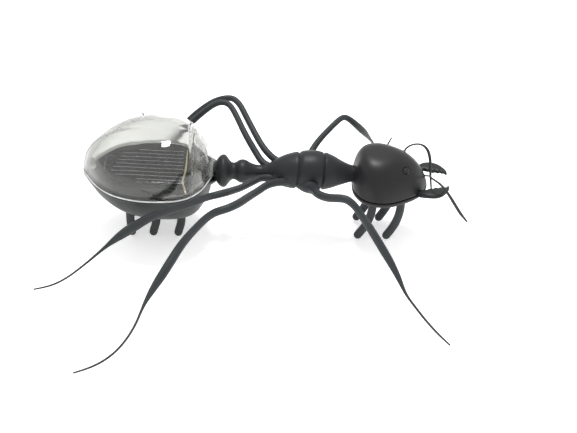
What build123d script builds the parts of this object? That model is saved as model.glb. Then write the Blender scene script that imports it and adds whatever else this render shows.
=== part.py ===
from build123d import *
import math
import os

# Solar powered toy ant: clear egg shaped dome over a solar panel, a hollow
# abdomen base with a vibration motor, a soft two-bump waist, a three-lobed
# thorax with six thin flexible legs, and an egg shaped head with mandibles and
# antennae.  Ten short rubber feet carry it.
# Millimetres.  +X points to the head, +Y to the ant's left, +Z up; Z = 0 is the
# plane of the feet.  The solids are laid out about the body axis and moved at
# the end so that the origin is the middle of the overall footprint.

ORIGIN_X = -8.77          # middle of the overall length, on the body layout
ORIGIN_Y = -2.67          # middle of the overall width, on the body layout
ORIGIN_Z = -0.10          # lowest point of the rounded feet

# ------------------------------------------------------------ dimensions
RIM_Z = 17.4              # joint between the abdomen base and the dome
DOME_H = 13.62            # dome height above the rim
DOME_P, DOME_Q, DOME_SHIFT = 2.59, 2.44, 3.8
DOME_WALL = 1.25
BOWL_H = 9.83             # bowl depth if it were not cut flat
BOWL_P, BOWL_Q, BOWL_SHIFT = 1.63, 4.03, 8.45
BOWL_CUT = 0.93           # the flat belly is here
BOWL_WALL = 2.0
FLOOR_WALL = 1.4
CENTRE_X = -34.3          # widest place of the abdomen
FLANGE_OUT = 0.45
FLANGE_T = 0.55

HEAD_Z = 15.0             # seam between the two head shells
HEAD_H = 11.3
HEAD_P, HEAD_Q, HEAD_SHIFT = 1.89, 1.6, -3.86
HEAD_CX = 24.0
HEAD_WALL = 1.3
JAW_DEPTH = 2.6           # lower head shell below the seam

AXIS_Z = 17.9             # body axis through waist, thorax and neck
WAIST_X = -21.9           # ball of the waist in the abdomen collar
WAIST_BALL_R = 1.9
NECK_X = 17.6             # ball of the neck in the head
NECK_BALL_R = 2.0
BALL_CLEAR = 0.12

FOOT_R = 1.08
FOOT_FIT = 0.03

MOTOR_R = 2.0
MOTOR_L = 8.0
MOTOR_Z = 12.0
MOTOR_X0 = -39.0          # rear of the can
SHAFT_R = 0.35
WEIGHT_R = 1.75
WEIGHT_T = 2.4

# rim outline of the abdomen, rear to front: (x, half width)
RIM = [(-52.08, 0.0), (-51.2, 2.2), (-49.27, 5.5), (-47.3, 8.0), (-44.4, 10.5),
       (-41.7, 11.8), (-38.5, 12.75), (-34.3, 13.15), (-29.7, 12.85),
       (-26.26, 11.75), (-23.85, 9.9), (-21.97, 7.2), (-20.62, 3.8), (-19.68, 0.0)]
# seam outline of the head, rear to front
HEAD = [(15.7, 0.0), (16.1, 4.3), (17.05, 6.6), (18.2, 8.0), (19.6, 8.9),
        (21.2, 9.4), (23.2, 9.6), (25.4, 9.25), (27.5, 8.4), (30.1, 7.0),
        (32.3, 5.4), (34.0, 3.2), (34.9, 0.0)]
# raised platform under the panel
PANEL = [(-49.0, 0.0), (-48.3, 2.6), (-45.75, 5.4), (-42.4, 7.0), (-37.9, 7.9),
         (-32.0, 8.0), (-26.6, 7.8), (-25.5, 7.0), (-25.2, 3.6), (-25.2, 0.0)]

# leg centre lines: (x, y, z, radius) from the hip ball to the toe
LEGS = {
    "front_right": [
        (4.3, -4.1, 17, 1.033), (5.18, -8.08, 18.57, 0.982), (6.57, -11.73, 19.96, 0.968), (8.49, -14.83, 21.3, 0.961),
        (10.74, -16.9, 22.65, 0.94), (13.13, -18, 23.11, 0.917), (14.97, -18.96, 22.21, 0.927), (16.68, -19.55, 20.01, 0.918),
        (18.91, -19.55, 16.34, 0.987), (20.77, -20.16, 13.39, 1.028), (22.74, -21.84, 10.78, 1.028), (24.78, -24.48, 8.46, 0.923),
        (26.55, -27.58, 6.43, 0.684), (28.1, -30.95, 4.7, 0.376), (30.33, -34.04, 3.07, 0.308), (32.7, -37.39, 1.86, 0.292),
        (35.14, -40.94, 1.15, 0.275), (37.79, -44.64, 0.8, 0.214),
    ],
    "front_left": [
        (4.3, 4.1, 17, 1.025), (5.38, 7.65, 18.42, 0.897), (7.1, 10.44, 19.95, 0.814), (9.85, 13.27, 21.79, 0.763),
        (12.48, 15.86, 23.13, 0.753), (14.19, 17.42, 23.13, 0.757), (15.99, 17.91, 21.86, 0.81), (17.97, 18.72, 19.5, 0.908),
        (19.75, 20.59, 16.57, 0.891), (21.28, 23.18, 13.23, 0.593), (22.73, 25.89, 9.78, 0.366), (24.15, 28.36, 6.37, 0.291),
        (25.82, 30.56, 3.69, 0.276), (27.11, 33.07, 2.16, 0.265), (28.34, 36.59, 1.2, 0.245), (29.81, 40.65, 0.8, 0.2),
    ],
    "middle_right": [
        (-0.4, -3.25, 17.4, 1.034), (-3.72, -5.04, 18.17, 0.993), (-5.9, -7.42, 19.06, 0.959), (-7.85, -11.2, 20.34, 0.936),
        (-9.91, -15.27, 21.75, 0.958), (-11.75, -19.25, 23.18, 0.986), (-13.6, -22.42, 24.2, 0.987), (-15.61, -23.97, 24.26, 0.987),
        (-17.75, -24.35, 23.63, 0.981), (-20.07, -24.01, 21.66, 0.947), (-22.76, -23.7, 18.17, 0.947), (-24.88, -23.87, 15.37, 0.988),
        (-26.84, -25.13, 13.03, 1.05), (-28.67, -27.72, 11.21, 1.102), (-30.85, -30.96, 9.09, 1.078), (-33.16, -34.27, 6.84, 0.798),
        (-34.89, -37.51, 5.05, 0.41), (-36.24, -41.26, 3.52, 0.311), (-37.94, -45.15, 2.39, 0.292), (-40.02, -48.66, 1.66, 0.282),
        (-42.63, -51.69, 1.19, 0.276), (-45.81, -54.1, 0.93, 0.254), (-49.59, -55.95, 0.8, 0.212),
    ],
    "middle_left": [
        (-0.4, 3.25, 17.4, 1.026), (-3.74, 4.34, 18.51, 0.924), (-6.03, 6.35, 19.54, 0.876), (-8.06, 9.63, 20.67, 0.845),
        (-9.95, 13.74, 21.88, 0.825), (-11.83, 18.01, 23.16, 0.811), (-13.65, 21.68, 24.17, 0.805), (-15.36, 23.39, 24.38, 0.805),
        (-17.69, 23.83, 23.99, 0.803), (-20.31, 24.51, 22.47, 0.781), (-23.15, 24.91, 20.02, 0.78), (-26.04, 25.45, 16.76, 0.827),
        (-28.45, 26, 13.17, 0.899), (-30.75, 26.97, 9.51, 0.78), (-32.88, 28.4, 6.52, 0.493), (-34.71, 30.4, 4.57, 0.336),
        (-36.49, 33.48, 3.22, 0.29), (-38.08, 37.31, 2.34, 0.28), (-39.43, 41.63, 1.71, 0.274), (-40.57, 46.16, 1.19, 0.252),
        (-41.48, 50.75, 0.8, 0.211),
    ],
    "hind_right": [
        (-4.4, -2, 17.4, 1.02), (-7.16, -2.93, 17.96, 0.91), (-8.83, -5.28, 18.87, 0.864), (-10.87, -9.2, 20.43, 0.857),
        (-12.88, -13.12, 22.19, 0.861), (-14.89, -16.94, 24.19, 0.907), (-16.59, -19.73, 25.63, 0.907), (-18.15, -20.69, 25.82, 0.887),
        (-20.02, -20.28, 24.88, 0.86), (-23.49, -19.1, 22.31, 0.892), (-27.26, -18.07, 19.89, 0.923), (-31.29, -17.13, 17.45, 0.966),
        (-34.81, -16.66, 15.16, 1.067), (-38.32, -16.89, 12.76, 1.22), (-41.88, -17.44, 10.18, 1.045), (-45.02, -18.69, 8.03, 0.511),
        (-48.42, -20.3, 5.52, 0.31), (-51.73, -22.19, 3.43, 0.269), (-55.03, -24.31, 1.95, 0.254), (-58.39, -26.04, 1.16, 0.24),
        (-62.4, -27.21, 0.8, 0.199),
    ],
    "hind_left": [
        (-4.4, 2, 17.4, 1.021), (-6.83, 3.63, 17.96, 0.919), (-8.77, 6.35, 19.14, 0.865), (-10.92, 9.6, 21.13, 0.832),
        (-12.96, 13.34, 23.18, 0.798), (-14.83, 16.94, 24.95, 0.779), (-16.7, 18.98, 25.78, 0.779), (-18.63, 19.45, 25.55, 0.779),
        (-21.44, 18.89, 24.07, 0.779), (-24.51, 18.47, 21.3, 0.807), (-27.64, 18.33, 17.79, 0.866), (-30.51, 18.58, 14.32, 0.953),
        (-33.53, 19.38, 10.8, 0.983), (-36.65, 20.37, 7.4, 0.817), (-39.78, 21.41, 4.83, 0.432), (-43.26, 22.74, 3.04, 0.306),
        (-46.9, 24.74, 1.73, 0.255), (-50.73, 27.22, 0.8, 0.2),
    ],
}
HIP_BALL_R = 1.15

# antenna centre lines: (x, y, z, radius) from the root to the tip
ANTENNAE = {
    "right": [
        (32.4, -2.6, 18.2, 0.206), (33.12, -3.64, 18.94, 0.196), (34.14, -3.74, 19.91, 0.198), (35.35, -4.77, 20.27, 0.228),
        (36.9, -6.23, 19.97, 0.267), (38.52, -7.43, 18.84, 0.316), (39.82, -8.08, 17.23, 0.361), (41.33, -8.69, 15.01, 0.401),
        (42.91, -9.02, 12.59, 0.383), (44.75, -9.19, 10.2, 0.222),
    ],
    "left": [
        (29.2, 4.2, 20, 0.21), (29.29, 5.32, 21.72, 0.234), (30.28, 5.55, 22.73, 0.24), (32.09, 5.38, 23.52, 0.222),
        (33.69, 5, 23.41, 0.276), (34.82, 4.11, 22.61, 0.373), (35.48, 2.9, 20.95, 0.388), (35.68, 1.44, 18.59, 0.334),
        (35.89, 0.47, 16.1, 0.271), (36.29, -0.05, 13.3, 0.211),
    ],
}

os.makedirs("parts", exist_ok=True)
NODES = {}


def put(name, shape):
    NODES[name] = shape


# ------------------------------------------------------------ helpers
def both_sides(half):
    """Closed outline from its half: rear tip, right side, front tip, left side."""
    right = [(x, -y) for x, y in half]
    left = [(x, y) for x, y in reversed(half[1:-1])]
    return right + left


def inset(half, d):
    """Half outline moved in by about d (out when d is negative)."""
    x0, x1 = half[0][0], half[-1][0]
    w = max(y for _, y in half)
    mid = [x for x, y in half if y == w][0]
    out = []
    for x, y in half:
        k = 1 - d / (mid - x0) if x < mid else 1 - d / (x1 - mid)
        out.append((mid + (x - mid) * k, y * (1 - d / w)))
    return out


def ring(half, z, s=1.0, cx=0.0, shift=0.0):
    pts = [(cx + (x - cx) * s + shift * (1 - s), y * s, z) for x, y in both_sides(half)]
    return Wire([Spline([Vector(*p) for p in pts], periodic=True)])


def level(u, p, q):
    return max(1 - u ** p, 0.0) ** (1 / q)


def egg(half, z0, h, p, q, cx, shift, us, up=1):
    """Solid whose level outlines are the half outline, shrinking with height."""
    rings = [ring(half, z0 + up * h * u, level(u, p, q), cx, shift) for u in us]
    if up < 0:
        rings = rings[::-1]
    return Solid.make_loft(rings, ruled=False)


def plate(half, z0, z1):
    return extrude(Face(ring(half, z0)), amount=z1 - z0, dir=(0, 0, 1))


def rod(r, start, direction, length):
    return Solid.make_cylinder(r, length, Plane(origin=start, z_dir=direction))


def cone(r0, r1, start, direction, length):
    return Solid.make_cone(r0, r1, length, Plane(origin=start, z_dir=direction))


def ball(r, at):
    return Solid.make_sphere(r, Plane(origin=at))


def chain(stations, n0=None):
    """Tapered rod of round sections, square to the centre line at each station."""
    pts = [Vector(*s[:3]) for s in stations]
    tans = []
    for i in range(len(pts)):
        a = pts[max(i - 1, 0)]
        b = pts[min(i + 1, len(pts) - 1)]
        tans.append((b - a).normalized())
    x = Vector(0, 0, 1).cross(tans[0])
    if x.length < 0.2:
        x = Vector(1, 0, 0)
    wires = []
    for p, t, s in zip(pts, tans, stations):
        x = (x - t * x.dot(t)).normalized()
        wires.append(Wire.make_circle(s[3], Plane(origin=p, x_dir=x, z_dir=t)))
    return Solid.make_loft(wires, ruled=True)


def revolve_x(profile, z):
    """Solid of revolution about the line y = 0 at height z; profile is (x, r)."""
    pts = [(profile[0][0], 0.0)] + list(profile) + [(profile[-1][0], 0.0)]
    face = Face(Wire.make_polygon([Vector(a, 0, z + b) for a, b in pts], close=True))
    return Solid.revolve(face, 360, Axis((0, 0, z), (1, 0, 0)))


def revolve_z(profile, x, y):
    """Solid of revolution about an upright line; profile is (z, r)."""
    pts = [(profile[0][0], 0.0)] + list(profile) + [(profile[-1][0], 0.0)]
    face = Face(Wire.make_polygon([Vector(x + b, y, a) for a, b in pts], close=True))
    return Solid.revolve(face, 360, Axis((x, y, 0), (0, 0, 1)))


def solid_of(shape):
    s = shape.solids()
    return s[0] if len(s) == 1 else Compound(children=list(s))


# ------------------------------------------------------------ abdomen dome
US_DOME = [0, 0.3, 0.55, 0.75, 0.88, 0.95, 0.985]
dome_outer = egg(RIM, RIM_Z, DOME_H, DOME_P, DOME_Q, CENTRE_X, DOME_SHIFT, US_DOME)
dome_inner = egg(inset(RIM, DOME_WALL), RIM_Z - 0.01, DOME_H - DOME_WALL, DOME_P, DOME_Q,
                 CENTRE_X, DOME_SHIFT, US_DOME)
flange = plate(inset(RIM, -FLANGE_OUT), RIM_Z, RIM_Z + FLANGE_T)
collar_c = Vector(WAIST_X, 0, RIM_Z)
collar = rod(3.3, (-24.3, 0, AXIS_Z), (1, 0, 0), 5.2)
socket = ball(WAIST_BALL_R + BALL_CLEAR, (WAIST_X, 0, AXIS_Z))
mouth = cone(1.75, 3.05, (WAIST_X, 0, AXIS_Z), (1, 0, 0), 4.0)
bore = rod(1.2, (-25.5, 0, AXIS_Z), (1, 0, 0), 3.6)
upper = Solid.make_box(80, 60, 40, Plane(origin=(-70, -30, RIM_Z)))
lower = Solid.make_box(80, 60, 40, Plane(origin=(-70, -30, RIM_Z - 40)))
pin = rod(0.9, (-50.0, 0, RIM_Z), (0, 0, 1), 3.0) - rod(0.45, (-50.0, 0, RIM_Z), (0, 0, 1), 2.4)

dome = (dome_outer + flange) - dome_inner
dome = dome + (collar & upper)
dome = dome + (pin & dome_outer)
dome = dome - socket - mouth - bore
put("abdomen_dome", solid_of(dome))

# ------------------------------------------------------------ abdomen base
US_BOWL = [0, 0.2, 0.4, 0.6, 0.75, 0.86, BOWL_CUT]
BELLY_Z = RIM_Z - BOWL_H * BOWL_CUT
FLOOR_Z = BELLY_Z + FLOOR_WALL
bowl_outer = egg(RIM, RIM_Z, BOWL_H, BOWL_P, BOWL_Q, CENTRE_X, BOWL_SHIFT, US_BOWL, up=-1)
inner_h = (RIM_Z - FLOOR_Z) / BOWL_CUT
bowl_inner = egg(inset(RIM, BOWL_WALL), RIM_Z + 0.01, inner_h + 0.01, BOWL_P, BOWL_Q, CENTRE_X,
                 BOWL_SHIFT, US_BOWL, up=-1)
base = bowl_outer - bowl_inner
base = base + plate(inset(RIM, -FLANGE_OUT), RIM_Z - FLANGE_T, RIM_Z) - bowl_inner
base = base + ((rod(3.3, (-24.3, 0, AXIS_Z), (1, 0, 0), 5.2)) & lower)
base = base - socket - mouth - bore

# cradle ribs for the motor
for cx in (MOTOR_X0 + 1.2, MOTOR_X0 + MOTOR_L - 1.6):
    rib = Solid.make_box(1.2, 5.4, MOTOR_Z - FLOOR_Z + 0.1, Plane(origin=(cx - 0.6, -2.7, FLOOR_Z - 0.1)))
    rib = rib - rod(MOTOR_R + 0.02, (cx - 2, 0, MOTOR_Z), (1, 0, 0), 4)
    base = base + rib

# feet of the abdomen: (x at the base, side)
ABD_FOOT_X = {"rear": -40.6, "middle": -33.9, "front": -27.5}
ABD_FOOT_Y = 4.0
feet = {}
for pos, fx in ABD_FOOT_X.items():
    for side, sg in (("right", -1), ("left", 1)):
        y = sg * ABD_FOOT_Y
        top = FLOOR_Z + (2.4 if pos == "rear" else 0.9)
        lean = 0.35 if pos == "rear" else -0.95
        st = [(fx, y, top, FOOT_R), (fx, y, 7.0, FOOT_R), (fx + 0.05 * lean, y, 5.2, FOOT_R),
              (fx + 0.25 * lean, y, 3.6, FOOT_R * 1.0), (fx + 0.62 * lean, y, 2.2, FOOT_R * 1.0),
              (fx + 0.95 * lean, y, 1.1, FOOT_R), (fx + 1.05 * lean, y, 0.62, FOOT_R * 0.88),
              (fx + 1.12 * lean, y, 0.25, FOOT_R * 0.66), (fx + 1.16 * lean, y, 0.0, FOOT_R * 0.3)]
        feet["abdomen_foot_%s_%s" % (pos, side)] = chain(st)
        base = base - rod(FOOT_R + FOOT_FIT, (fx, y, 5.5), (0, 0, 1), 7.0)
# screw posts
SCREW_XY = [(-30.75, -5.2), (-30.75, 5.2)]
POST_TOP = 12.6
for sx, sy in SCREW_XY:
    base = base + (rod(1.55, (sx, sy, FLOOR_Z - 0.4), (0, 0, 1), POST_TOP - FLOOR_Z + 0.4))
for sx, sy in SCREW_XY:
    base = base - rod(0.75, (sx, sy, BELLY_Z - 1), (0, 0, 1), 10)
    base = base - rod(1.3, (sx, sy, BELLY_Z - 1), (0, 0, 1), 1.9)

put("abdomen_base", solid_of(base))
for k, v in feet.items():
    put(k, v)

# ------------------------------------------------------------ panel tray
TRAY_Z0, TRAY_Z1 = RIM_Z, RIM_Z + 0.6
PLAT_Z = 18.6
tray = plate(inset(RIM, DOME_WALL + 0.25), TRAY_Z0, TRAY_Z1)
tray = tray + plate(PANEL, TRAY_Z0 + 0.1, PLAT_Z)
tray = tray - Solid.make_box(6, 7.0, 4, Plane(origin=(-24.6, -3.5, 16.5)))
tray = tray - rod(1.25, (-50.0, 0, RIM_Z - 1), (0, 0, 1), 5)
for sx, sy in SCREW_XY:
    tray = tray + rod(1.55, (sx, sy, POST_TOP), (0, 0, 1), TRAY_Z0 - POST_TOP + 0.2)
for sx, sy in SCREW_XY:
    tray = tray - rod(0.61, (sx, sy, POST_TOP - 1), (0, 0, 1), 5.0)
WIRE_R = 0.35
WIRE_X = -43.5
WIRE_Y = {"positive": 1.6, "negative": -1.6}
for y in WIRE_Y.values():
    tray = tray - rod(WIRE_R + 0.25, (WIRE_X, y, 16), (0, 0, 1), 4)
put("panel_tray", solid_of(tray))

BOARD_Z = 19.2
CELL_Z = 19.45
board = plate(inset(PANEL, 0.35), PLAT_Z, BOARD_Z)
put("solar_panel_board", solid_of(board))
cell = plate(inset(PANEL, 0.9), BOARD_Z, CELL_Z)
put("solar_cell", solid_of(cell))
BUS_X = -26.9
bus = Solid.make_box(0.7, 13.6, 0.12, Plane(origin=(BUS_X - 0.35, -6.8, CELL_Z)))
put("busbar_ribbon_front", bus)
bus_r = Solid.make_box(0.6, 6.4, 0.12, Plane(origin=(-46.1, -3.2, CELL_Z)))
put("busbar_ribbon_rear", bus_r)
pads = [rod(0.55, (WIRE_X, y, PLAT_Z), (0, 0, -1), 0.18) for y in WIRE_Y.values()]
tray_cut = NODES["panel_tray"]
for y in WIRE_Y.values():
    tray_cut = tray_cut - rod(0.6, (WIRE_X, y, PLAT_Z - 0.2), (0, 0, 1), 1)
NODES["panel_tray"] = solid_of(tray_cut)
put("solder_joints", Compound(children=pads))

for (sx, sy), side in zip(SCREW_XY, ("right", "left")):
    put("tray_screw_%s" % side, revolve_z([(8.36, 1.22), (9.1, 1.22), (9.1, 0.6), (15.6, 0.6), (16.1, 0.2)], sx, sy))

# ------------------------------------------------------------ motor
can = rod(MOTOR_R, (MOTOR_X0, 0, MOTOR_Z), (1, 0, 0), MOTOR_L)
can = can - rod(SHAFT_R + 0.05, (MOTOR_X0 - 1, 0, MOTOR_Z), (1, 0, 0), MOTOR_L + 2)
can = can + (rod(0.75, (MOTOR_X0 + MOTOR_L, 0, MOTOR_Z), (1, 0, 0), 0.4)
             - rod(SHAFT_R + 0.05, (MOTOR_X0 + MOTOR_L - 1, 0, MOTOR_Z), (1, 0, 0), 3))
put("motor_can", solid_of(can))
cap = rod(MOTOR_R - 0.05, (MOTOR_X0 - 1.0, 0, MOTOR_Z), (1, 0, 0), 1.0)
put("motor_end_cap", cap)
shaft = rod(SHAFT_R, (MOTOR_X0 + 0.1, 0, MOTOR_Z), (1, 0, 0), MOTOR_L + 3.6)
put("motor_shaft", shaft)
wx = MOTOR_X0 + MOTOR_L + 0.9
weight = rod(WEIGHT_R, (wx, 0, MOTOR_Z), (1, 0, 0), WEIGHT_T)
weight = weight - Solid.make_box(5, 6, 3, Plane(origin=(wx - 1, -3, MOTOR_Z + 0.55)))
weight = weight - rod(SHAFT_R, (wx - 1, 0, MOTOR_Z), (1, 0, 0), 6)
put("eccentric_weight", solid_of(weight))
CLIP_X = MOTOR_X0 + 2.6
clip = Solid.make_box(2.0, 5.6, MOTOR_Z + 2.6 - FLOOR_Z, Plane(origin=(CLIP_X, -2.8, FLOOR_Z)))
clip = clip - rod(MOTOR_R + 0.03, (CLIP_X - 1, 0, MOTOR_Z), (1, 0, 0), 4)
clip = clip - Solid.make_box(4, 2 * MOTOR_R + 0.06, MOTOR_Z - FLOOR_Z + 1, Plane(origin=(CLIP_X - 1, -MOTOR_R - 0.03, FLOOR_Z - 1)))
put("motor_clip", solid_of(clip))

# lead wires: from the solder joints down to the end cap
for pol, y in WIRE_Y.items():
    pts = [Vector(WIRE_X, y, PLAT_Z - 0.18), Vector(WIRE_X, y, 15.6), Vector(WIRE_X + 0.5, y * 0.7, 13.0),
           Vector(MOTOR_X0 - 1.0, y * 0.55, MOTOR_Z + 0.1)]
    path = FilletPolyline(*pts, radius=[1.0, 0.9])
    prof = Plane(origin=pts[0], z_dir=(0, 0, -1)) * Circle(WIRE_R)
    w = sweep(prof, path=path)
    put("lead_wire_%s" % pol, solid_of(w))
    print("wire", pol, "volume / section", round(w.volume / (math.pi * WIRE_R ** 2), 2), "length", round(path.length, 2))

# ------------------------------------------------------------ waist
WAIST = [(-20.6, 1.35), (-19.6, 1.5), (-18.9, 2.5), (-18.1, 3.6), (-17.3, 4.1), (-16.6, 4.15), (-15.9, 3.5),
         (-15.2, 2.55), (-14.5, 2.15), (-13.8, 2.3), (-13.1, 2.75), (-12.2, 3.0), (-11.3, 2.85), (-10.4, 2.3),
         (-9.4, 1.85), (-8.3, 1.65), (-7.3, 1.6)]
waist = revolve_x(WAIST, AXIS_Z) + ball(WAIST_BALL_R, (WAIST_X, 0, AXIS_Z)) \
    + rod(0.8, (-7.6, 0, AXIS_Z), (1, 0, 0), 3.2)
put("waist_connector", solid_of(waist))

# ------------------------------------------------------------ thorax
THORAX = [(-7.3, 1.55), (-6.0, 1.9), (-4.4, 2.7), (-2.6, 3.65), (-0.8, 4.3), (0.8, 4.65), (1.5, 4.6), (1.9, 4.4),
          (2.3, 4.65), (3.4, 5.0), (4.8, 5.12), (6.3, 5.05), (7.5, 4.85), (8.1, 4.55), (8.7, 4.65), (10.2, 4.25),
          (12.2, 3.4), (14.0, 2.6), (15.4, 2.05), (16.4, 1.75)]
thorax = revolve_x(THORAX, AXIS_Z) + ball(NECK_BALL_R, (NECK_X, 0, AXIS_Z))
thorax = thorax - rod(0.83, (-8.0, 0, AXIS_Z), (1, 0, 0), 3.8)
for name, st in LEGS.items():
    c = Vector(*st[0][:3])
    d = (Vector(*st[1][:3]) - c).normalized()
    thorax = thorax - ball(HIP_BALL_R + BALL_CLEAR, c)
    thorax = thorax - cone(1.05, 2.1, c, d, 3.0)
put("thorax", solid_of(thorax))

# ------------------------------------------------------------ legs
for name, st in LEGS.items():
    c = Vector(*st[0][:3])
    leg = chain(st) + ball(HIP_BALL_R, c)
    front, side = name.split("_")
    put("leg_%s" % name, solid_of(leg))

# ------------------------------------------------------------ head
US_HEAD = [0, 0.25, 0.45, 0.62, 0.76, 0.87, 0.95, 0.985]
head_outer = egg(HEAD, HEAD_Z, HEAD_H, HEAD_P, HEAD_Q, HEAD_CX, HEAD_SHIFT, US_HEAD)
head_inner = egg(inset(HEAD, HEAD_WALL), HEAD_Z - 0.01, HEAD_H - HEAD_WALL, HEAD_P, HEAD_Q, HEAD_CX,
                 HEAD_SHIFT, US_HEAD)
hup = head_outer - head_inner
# socket of the neck
nc = (NECK_X, 0, AXIS_Z)
boss = rod(3.1, (15.3, 0, AXIS_Z), (1, 0, 0), 4.6) & head_outer
hup = hup + boss - ball(NECK_BALL_R + BALL_CLEAR, nc) - cone(1.7, 3.4, nc, (-1, 0, 0), 3.4)
# eyes: low raised rings
EYE = {"right": (28.3, -4.6, 21.9), "left": (28.3, 4.6, 21.9)}
for side, sg in (("right", -1), ("left", 1)):
    e = Vector(*EYE[side])
    n = Vector(0.42, 0.48 * sg, 0.77).normalized()
    pad_e = Solid.make_cylinder(1.15, 1.6, Plane(origin=e - n * 1.1, z_dir=n))
    hup = hup + (pad_e - (head_inner))
US_JAW = [0, 0.4, 0.7, 0.9, 0.97]
jaw_outer = egg(HEAD, HEAD_Z, JAW_DEPTH, 2.0, 2.0, HEAD_CX, 0.0, US_JAW, up=-1)
jaw_inner = egg(inset(HEAD, HEAD_WALL), HEAD_Z + 0.01, JAW_DEPTH - 1.1, 2.0, 2.0, HEAD_CX, 0.0, US_JAW, up=-1)
jaw = jaw_outer - jaw_inner

# mandibles: flat toothed blades seated between the shells
MAND_OUT = [(30.6, 3.4), (31.6, 5.4), (33.3, 6.75), (35.2, 7.4), (36.9, 7.35), (38.4, 6.5), (39.5, 5.2), (40.25, 3.7),
            (40.3, 2.75)]
MAND_IN = [(39.75, 2.85), (39.3, 3.35), (38.9, 3.1), (38.4, 3.55), (37.9, 3.2), (37.3, 3.7), (36.7, 3.35), (36.1, 3.9),
           (35.4, 3.85), (34.4, 4.5), (33.4, 4.4), (32.0, 3.0)]
MAND_Z0, MAND_Z1 = 15.35, 17.15
for side, sg in (("right", -1), ("left", 1)):
    pts = [Vector(x, sg * y, MAND_Z0) for x, y in MAND_OUT + MAND_IN]
    m = extrude(Face(Wire.make_polygon(pts, close=True)), amount=MAND_Z1 - MAND_Z0, dir=(0, 0, 1))
    slotb = [Vector(x, sg * y, MAND_Z0 - 0.04) for x, y in
             [(30.2, 2.6), (30.9, 5.7), (33.0, 7.2), (36.5, 8.4), (38.5, 3.0), (33.4, 3.9), (32.1, 2.4)]]
    hup = hup - extrude(Face(Wire.make_polygon(slotb, close=True)), amount=MAND_Z1 - MAND_Z0 + 0.08, dir=(0, 0, 1))
    put("mandible_%s" % side, solid_of(m))

# antenna roots: small balls in the head wall
ANT_BALL_R = 0.55
for side, st in ANTENNAE.items():
    c = Vector(*st[0][:3])
    d = (Vector(*st[1][:3]) - c).normalized()
    seat = (ball(1.5, c)) & head_outer
    hup = hup + seat
for side, st in ANTENNAE.items():
    c = Vector(*st[0][:3])
    d = (Vector(*st[1][:3]) - c).normalized()
    hup = hup - ball(ANT_BALL_R + 0.08, c) - cone(0.4, 2.3, c, d, 3.0)
    put("antenna_%s" % side, solid_of(chain(st) + ball(ANT_BALL_R, c)))
put("head_upper_shell", solid_of(hup))

# feet of the head, curved to the rear
HEAD_FOOT = {"front": (28.35, 25.3), "rear": (21.2, 17.9)}
HEAD_FOOT_Y = {"right": -4.0, "left": 3.6}
for pos, (x_base, x_tip) in HEAD_FOOT.items():
    for side, y in HEAD_FOOT_Y.items():
        xb, dx = x_base, x_tip - x_base
        if (pos, side) == ("front", "left"):
            xb = xb - 1.5
        st = [(xb, y, 14.6, FOOT_R), (xb, y, 11.4, FOOT_R), (xb + 0.02 * dx, y, 9.6, FOOT_R), (xb + 0.1 * dx, y, 7.8, FOOT_R),
              (xb + 0.24 * dx, y, 6.0, FOOT_R), (xb + 0.44 * dx, y, 4.3, FOOT_R), (xb + 0.68 * dx, y, 2.8, FOOT_R),
              (xb + 0.9 * dx, y, 1.55, FOOT_R), (xb + 1.02 * dx, y, 0.85, FOOT_R * 0.92),
              (xb + 1.08 * dx, y, 0.4, FOOT_R * 0.7), (xb + 1.12 * dx, y, 0.0, FOOT_R * 0.3)]
        put("head_foot_%s_%s" % (pos, side), chain(st))
        jaw = jaw - rod(FOOT_R + FOOT_FIT, (xb, y, 10.6), (0, 0, 1), 4.1)

# screw that holds the two head shells together
SCREW_HX = 24.2
jaw = jaw + (rod(1.5, (SCREW_HX, 0, 12.9), (0, 0, 1), 2.9) & Solid.make_box(60, 40, 20, Plane(origin=(0, -20, 12.9))))
jaw = jaw - rod(0.72, (SCREW_HX, 0, 10), (0, 0, 1), 8) - rod(1.3, (SCREW_HX, 0, 10), (0, 0, 1), 3.5)
put("head_lower_shell", solid_of(jaw))
post = rod(1.5, (SCREW_HX, 0, 15.85), (0, 0, 1), 12) & head_outer
post = post - rod(0.61, (SCREW_HX, 0, 15), (0, 0, 1), 5.5)
NODES["head_upper_shell"] = solid_of(NODES["head_upper_shell"] + post)
put("head_screw", solid_of(rod(1.2, (SCREW_HX, 0, 12.75), (0, 0, 1), 0.7) + rod(0.6, (SCREW_HX, 0, 13.3), (0, 0, 1), 6.4)))

# ------------------------------------------------------------ write
shift = Location((-ORIGIN_X, -ORIGIN_Y, -ORIGIN_Z))
lo = [1e9] * 3
hi = [-1e9] * 3
for name, shape in NODES.items():
    moved = shape.moved(shift)
    bb = moved.bounding_box()
    lo = [min(a, b) for a, b in zip(lo, (bb.min.X, bb.min.Y, bb.min.Z))]
    hi = [max(a, b) for a, b in zip(hi, (bb.max.X, bb.max.Y, bb.max.Z))]
    export_step(moved, "parts/%s.step" % name)
print("box", [round(v, 3) for v in lo], [round(v, 3) for v in hi])
print("middle", round((lo[0] + hi[0]) / 2, 3), round((lo[1] + hi[1]) / 2, 3), "nodes", len(NODES))
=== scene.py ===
import math

import bpy
import bmesh
import numpy as np
from mathutils import Matrix, Vector


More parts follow.
